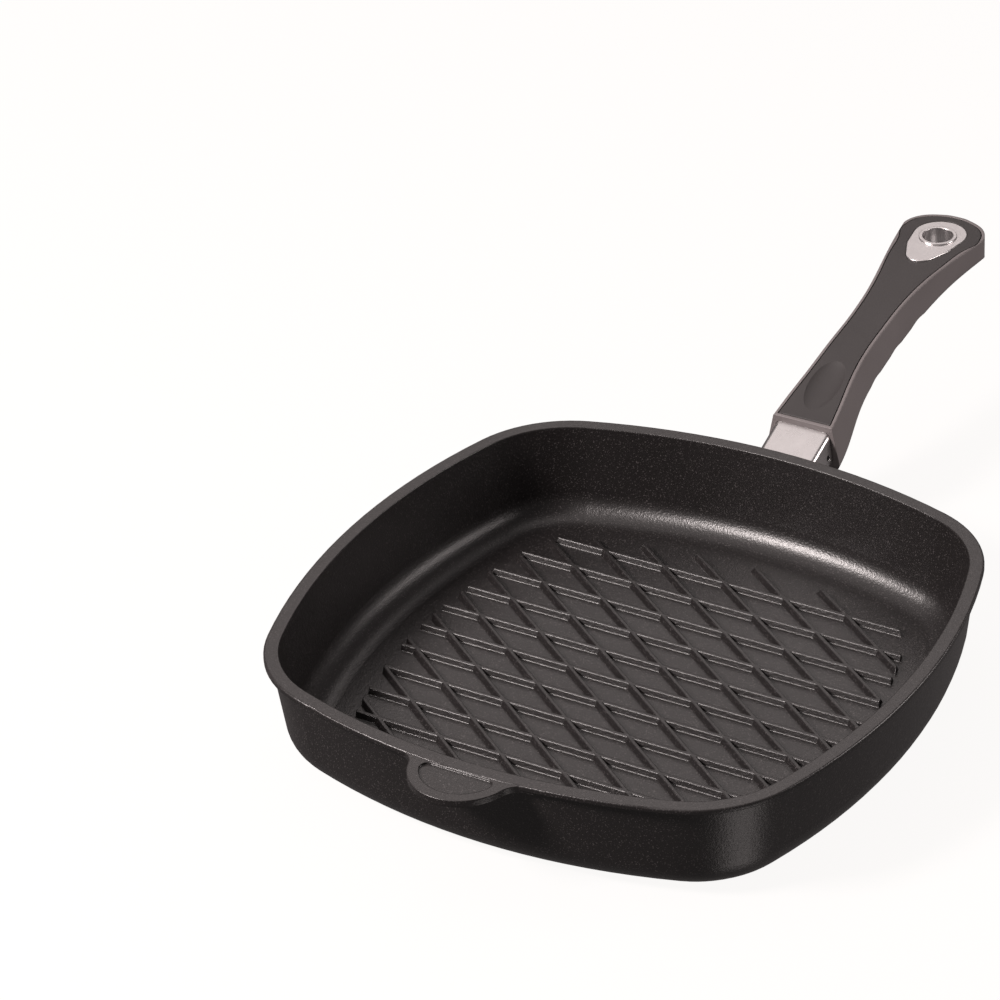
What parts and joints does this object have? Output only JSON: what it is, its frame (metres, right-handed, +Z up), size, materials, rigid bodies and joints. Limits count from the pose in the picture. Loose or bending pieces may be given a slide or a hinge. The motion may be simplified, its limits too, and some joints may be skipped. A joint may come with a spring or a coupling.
{
  "type": "square grill pan",
  "caption": "Square cast grill pan with crossing floor ribs, a turned steel-disc base, a D-recessed helper lug and a rising detachable handle with a hanging eye.",
  "frame": {"origin": "centre of the underside of the base, on the hob", "axes": "+Z up out of the pan, +X along the handle towards its hanging end, +Y across the pan"},
  "size_m": [0.486, 0.28, 0.08],
  "materials": {
    "coated_casting": "dark grey speckled non-stick coating",
    "turned_steel": "turned, with fine rings",
    "satin_steel": "satin",
    "spring_steel": "drawn wire",
    "grip_plastic": "matte, warm dark grey",
    "panel_plastic": "matte, fine grain",
    "lever_plastic": "matte"
  },
  "bodies": {
    "pan": {"pan_casting": "coated_casting", "base_disc": "turned_steel", "ferrule": "satin_steel", "handle_body": "grip_plastic", "handle_top_panel": "panel_plastic", "eye_plate": "satin_steel", "eye_sleeve": "satin_steel", "lever_pin": "satin_steel", "lever_spring": "spring_steel"},
    "lever": {"release_lever": "lever_plastic", "latch_stirrup": "satin_steel"}
  },
  "joints": [
    {"name": "lever_press", "type": "hinge", "parent": "pan", "child": "lever", "pos_m": [0.20533, 0, 0.05446], "axis": [0, 1, 0], "range_deg": [0, 5], "stiffness_Nm_per_rad": 0.6, "springref_deg": -8.59, "deforming": ["lever_spring"]}
  ]
}
